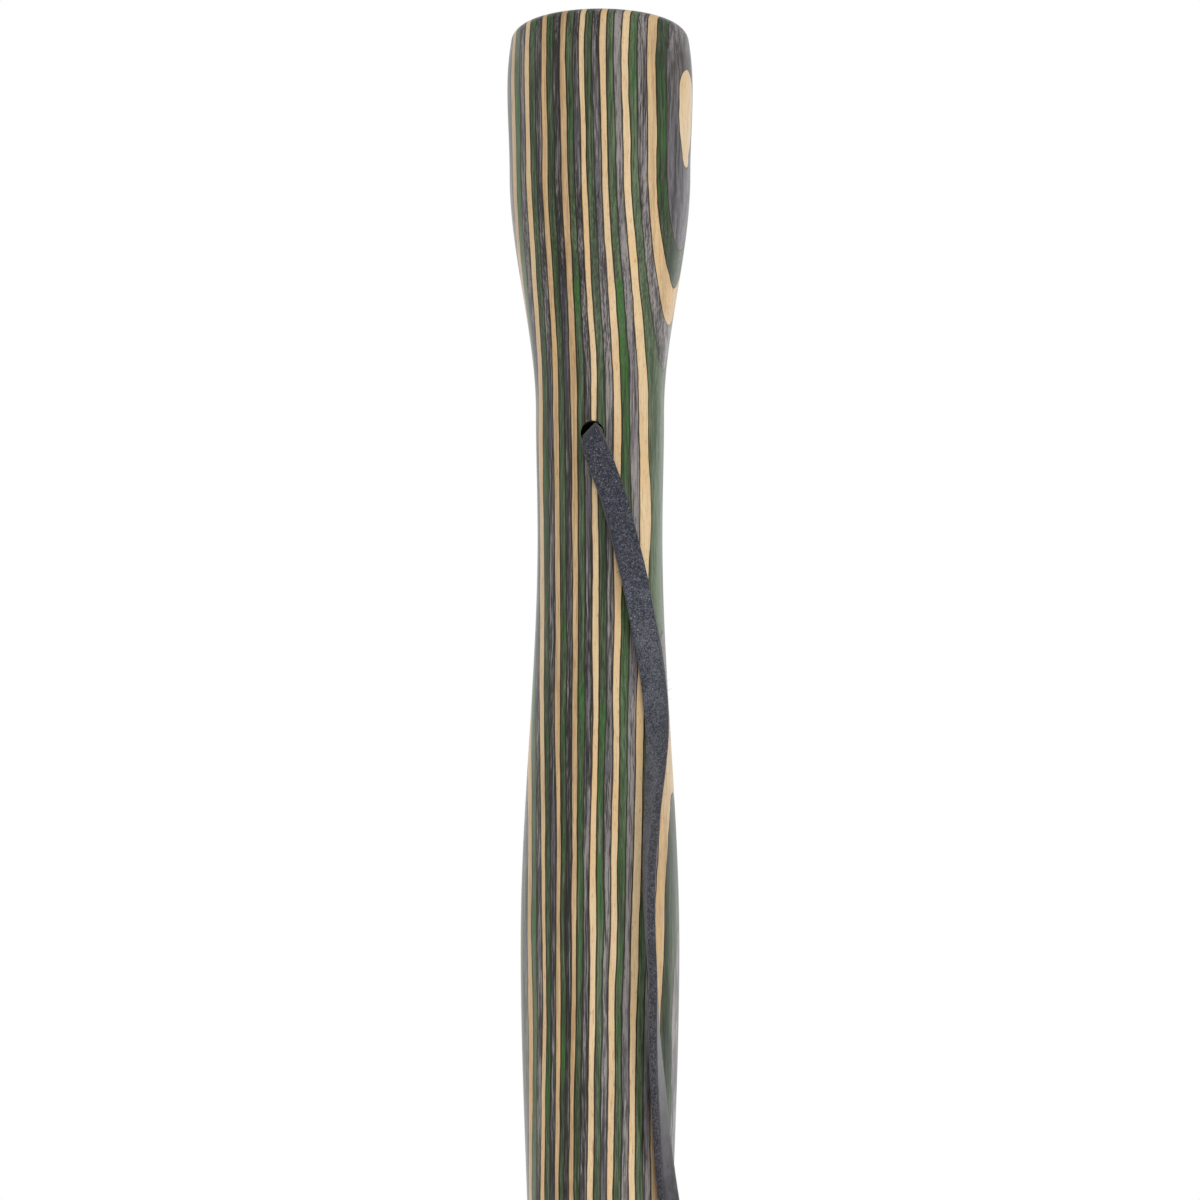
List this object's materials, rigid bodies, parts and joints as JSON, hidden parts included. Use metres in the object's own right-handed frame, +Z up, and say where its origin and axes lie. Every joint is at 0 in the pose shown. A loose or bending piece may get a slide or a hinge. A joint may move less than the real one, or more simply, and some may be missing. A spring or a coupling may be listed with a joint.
{
  "type": "hiking staff",
  "caption": "Hiking staff turned from glued tan, grey and green wood veneers, with a low domed head, waisted grip, leather wrist strap and rubber ferrule.",
  "frame": {"origin": "middle of the ferrule's sole, on the ground", "axes": "+Z up the staff; the strap bore runs along Y and the front, with the strap's shown strand, is -Y"},
  "size_m": [0.05, 0.0416, 1.22],
  "materials": {
    "tan_veneer": "undyed birch veneer under satin lacquer",
    "grey_veneer": "grey dyed birch veneer under satin lacquer",
    "green_veneer": "green dyed birch veneer under satin lacquer",
    "black_leather": "split leather lace, smooth on one side and suede on the other",
    "black_rubber": "moulded matt rubber",
    "zinc_steel": "zinc plated pressed steel"
  },
  "bodies": {
    "staff": {"veneer_01_tan": "tan_veneer", "veneer_02_grey": "grey_veneer", "veneer_03_green": "green_veneer", "veneer_04_tan": "tan_veneer", "veneer_05_grey": "grey_veneer", "veneer_06_green": "green_veneer", "veneer_07_tan": "tan_veneer", "veneer_08_grey": "grey_veneer", "veneer_09_green": "green_veneer", "veneer_10_tan": "tan_veneer", "veneer_11_grey": "grey_veneer", "veneer_12_green": "green_veneer", "veneer_13_tan": "tan_veneer", "veneer_14_grey": "grey_veneer", "veneer_15_green": "green_veneer", "veneer_16_tan": "tan_veneer", "veneer_17_grey": "grey_veneer", "veneer_18_green": "green_veneer", "veneer_19_tan": "tan_veneer", "veneer_20_grey": "grey_veneer", "veneer_21_green": "green_veneer", "veneer_22_tan": "tan_veneer", "veneer_23_grey": "grey_veneer", "veneer_24_green": "green_veneer", "veneer_25_tan": "tan_veneer", "veneer_26_grey": "grey_veneer", "veneer_27_green": "green_veneer", "veneer_28_tan": "tan_veneer", "veneer_29_grey": "grey_veneer"},
    "wrist_strap": {"lace_front": "black_leather", "lace_bore": "black_leather", "lace_back": "black_leather", "lace_knot": "black_leather", "lace_tail_long": "black_leather", "lace_tail_short": "black_leather"},
    "ferrule": {"rubber_ferrule": "black_rubber", "ferrule_washer": "zinc_steel"}
  },
  "joints": [
    {"name": "strap_swing", "type": "hinge", "parent": "staff", "child": "wrist_strap", "pos_m": [0, 0, 1.1205], "axis": [0, -1, 0], "range_deg": [0, 100]},
    {"name": "ferrule_pull_off", "type": "slide", "parent": "staff", "child": "ferrule", "axis": [0, 0, -1], "range_m": [0, 0.034]}
  ]
}
